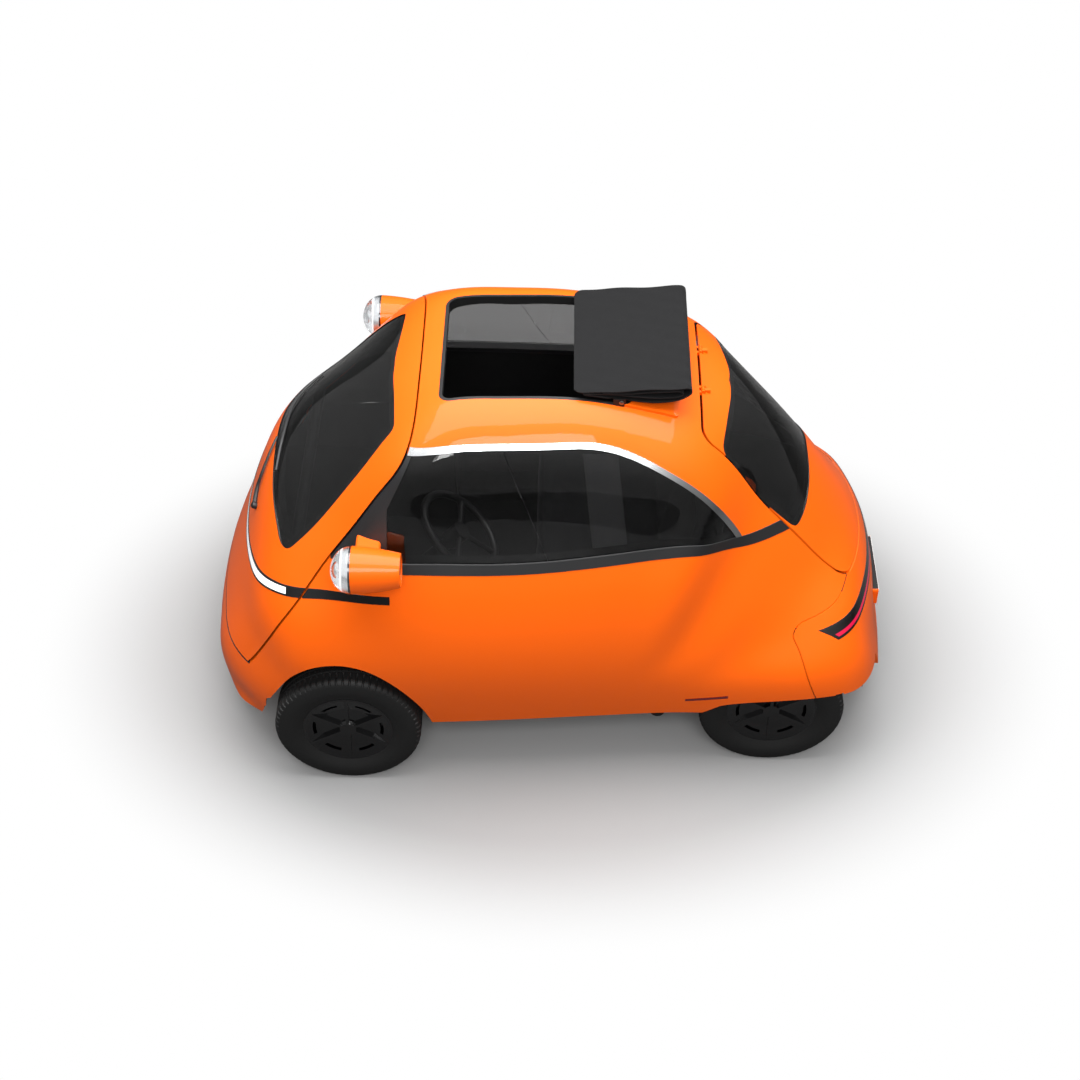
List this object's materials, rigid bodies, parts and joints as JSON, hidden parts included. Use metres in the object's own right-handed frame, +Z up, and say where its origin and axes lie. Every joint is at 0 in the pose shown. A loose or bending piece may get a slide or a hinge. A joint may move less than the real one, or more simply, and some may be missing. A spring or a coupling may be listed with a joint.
{
  "type": "microcar",
  "caption": "Bubble-shaped two-seat electric microcar with a front-opening door, a folding cloth roof, a rear tailgate and lamp pods that carry the mirrors.",
  "frame": {"origin": "on the ground, below the middle of the car's box", "axes": "+X to the rear of the car, +Y to the car's right, +Z up; the door is at -X"},
  "size_m": [2.5242, 1.5576, 1.548],
  "materials": {
    "paint": "orange paint under clear lacquer",
    "dark_trim": "satin black",
    "gloss_trim": "high gloss black",
    "tinted_glass": "dark tinted",
    "red_light": "clear red",
    "chrome": "bright",
    "cloth": "woven roof cloth, charcoal",
    "lamp_glass": "clear",
    "mirror": "silvered",
    "iron": "black coated",
    "housing_plastic": "grained black",
    "floor_trim": "black",
    "seat_fabric": "woven, charcoal",
    "alloy": "cast",
    "white_light": "milky white light strip",
    "tyre": "moulded",
    "wheel_black": "gloss black wheel and cover"
  },
  "bodies": {
    "body": {"side_panel_left": "paint", "side_panel_right": "paint", "nose_panel": "paint", "tail_panel": "paint", "roof_panel": "paint", "belt_rails": "dark_trim", "pillar_covers": "gloss_trim", "side_windows": "tinted_glass", "strip_ends": "gloss_trim", "red_lights": "red_light", "chrome_strips": "chrome", "folded_cloth": "cloth", "roof_seal": "dark_trim", "lamp_pods": "paint", "lamp_lenses": "lamp_glass", "mirrors": "mirror", "front_arms": "iron", "rear_axle": "iron", "wheel_housings": "housing_plastic", "floor_pan": "floor_trim", "parcel_shelf": "floor_trim", "seat_cushion": "seat_fabric", "seat_back": "seat_fabric", "headrests": "seat_fabric", "seat_frame": "floor_trim", "battery": "alloy", "motor": "alloy", "steering_column": "dark_trim"},
    "front_door": {"door_panel": "paint", "door_bar": "dark_trim", "windscreen": "tinted_glass", "light_strip": "white_light"},
    "tailgate": {"tailgate": "paint", "rear_glass": "tinted_glass"},
    "steering_wheel": {"steering_wheel": "dark_trim"},
    "knuckle_left": {"knuckle_left": "iron"},
    "knuckle_right": {"knuckle_right": "iron"},
    "wheel_front_left": {"tyre_front_left": "tyre", "rim_front_left": "wheel_black"},
    "wheel_front_right": {"tyre_front_right": "tyre", "rim_front_right": "wheel_black"},
    "wheel_rear_left": {"tyre_rear_left": "tyre", "rim_rear_left": "wheel_black"},
    "wheel_rear_right": {"tyre_rear_right": "tyre", "rim_rear_right": "wheel_black"}
  },
  "joints": [
    {"name": "front_door_hinge", "type": "hinge", "parent": "body", "child": "front_door", "pos_m": [-1.01, 0.628, 0.625], "axis": [0, 0, -1], "range_deg": [0, 75]},
    {"name": "tailgate_hinge", "type": "hinge", "parent": "body", "child": "tailgate", "pos_m": [0.52, 0, 1.4], "axis": [0, -1, 0], "range_deg": [0, 70]},
    {"name": "steer_left", "type": "hinge", "parent": "body", "child": "knuckle_left", "pos_m": [-0.7345, -0.5475, 0.2665], "axis": [0, 0, 1], "range_deg": [-30, 30]},
    {"name": "steer_right", "type": "hinge", "parent": "body", "child": "knuckle_right", "pos_m": [-0.7345, 0.5475, 0.2665], "axis": [0, 0, 1], "range_deg": [-30, 30]},
    {"name": "steering_wheel_turn", "type": "hinge", "parent": "body", "child": "steering_wheel", "pos_m": [-0.33, -0.255, 0.84], "axis": [0.661, 0, 0.7504], "range_deg": [-480, 480]},
    {"name": "spin_front_left", "type": "hinge", "parent": "knuckle_left", "child": "wheel_front_left", "pos_m": [-0.7345, -0.65, 0.2665], "axis": [0, 1, 0], "continuous": true},
    {"name": "spin_front_right", "type": "hinge", "parent": "knuckle_right", "child": "wheel_front_right", "pos_m": [-0.7345, 0.65, 0.2665], "axis": [0, 1, 0], "continuous": true},
    {"name": "spin_rear_left", "type": "hinge", "parent": "body", "child": "wheel_rear_left", "pos_m": [0.8175, -0.537, 0.2665], "axis": [0, 1, 0], "continuous": true},
    {"name": "spin_rear_right", "type": "hinge", "parent": "body", "child": "wheel_rear_right", "pos_m": [0.8175, 0.537, 0.2665], "axis": [0, 1, 0], "continuous": true}
  ],
  "couplings": [
    {"joint": "steer_right", "follows": "steer_left", "ratio": 1},
    {"joint": "steering_wheel_turn", "follows": "steer_left", "ratio": 16}
  ]
}
